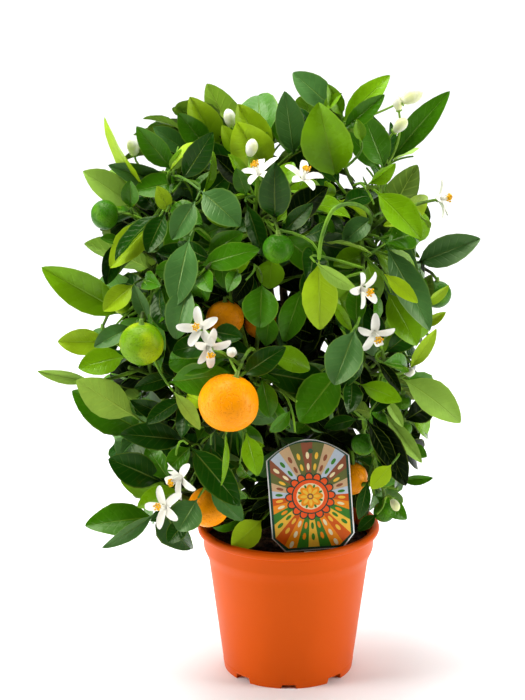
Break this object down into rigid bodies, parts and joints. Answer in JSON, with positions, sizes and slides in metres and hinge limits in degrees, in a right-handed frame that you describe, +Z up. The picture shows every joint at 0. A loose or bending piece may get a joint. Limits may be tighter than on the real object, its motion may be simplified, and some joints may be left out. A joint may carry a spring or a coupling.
{
  "type": "potted calamondin orange tree",
  "caption": "Small leafy citrus tree with round fruits and open blossom in a tapered plastic nursery pot with a plant label.",
  "frame": {"origin": "middle of the pot's flat underside, on the ground", "axes": "+Z up along the pot's axis; -Y towards the tree's front, where the label stands; +X to the right of someone who faces that front"},
  "size_m": [0.3324, 0.2562, 0.4675],
  "materials": {
    "pot": "smooth, slightly glossy orange plastic",
    "soil": "dark, coarse, moist compost",
    "label": "printed plastic tag with a satin face",
    "bark": "dull grey-brown bark with fine relief",
    "bough": "green-brown young bark",
    "foliage": "glossy green leaves, orange and green fruits and white blossom"
  },
  "bodies": {
    "root": {"pot": "pot", "soil": "soil", "label": "label", "trunk": "bark", "bough_front_low_left": "bough", "bough_front_low_right": "bough", "bough_front_mid_left": "bough", "bough_front_middle": "bough", "bough_front_mid_right": "bough", "bough_front_top_left": "bough", "bough_front_top_middle": "bough", "bough_front_top_right": "bough", "bough_back_low_left": "bough", "bough_back_low_right": "bough", "bough_back_mid_left": "bough", "bough_back_mid_right": "bough", "bough_back_top_left": "bough", "bough_back_top_right": "bough", "foliage_front_low_left": "foliage", "foliage_front_low_right": "foliage", "foliage_front_mid_left": "foliage", "foliage_front_middle": "foliage", "foliage_front_mid_right": "foliage", "foliage_front_top_left": "foliage", "foliage_front_top_middle": "foliage", "foliage_front_top_right": "foliage", "foliage_back_low_left": "foliage", "foliage_back_low_right": "foliage", "foliage_back_mid_left": "foliage", "foliage_back_mid_right": "foliage", "foliage_back_top_left": "foliage", "foliage_back_top_right": "foliage"}
  },
  "joints": []
}
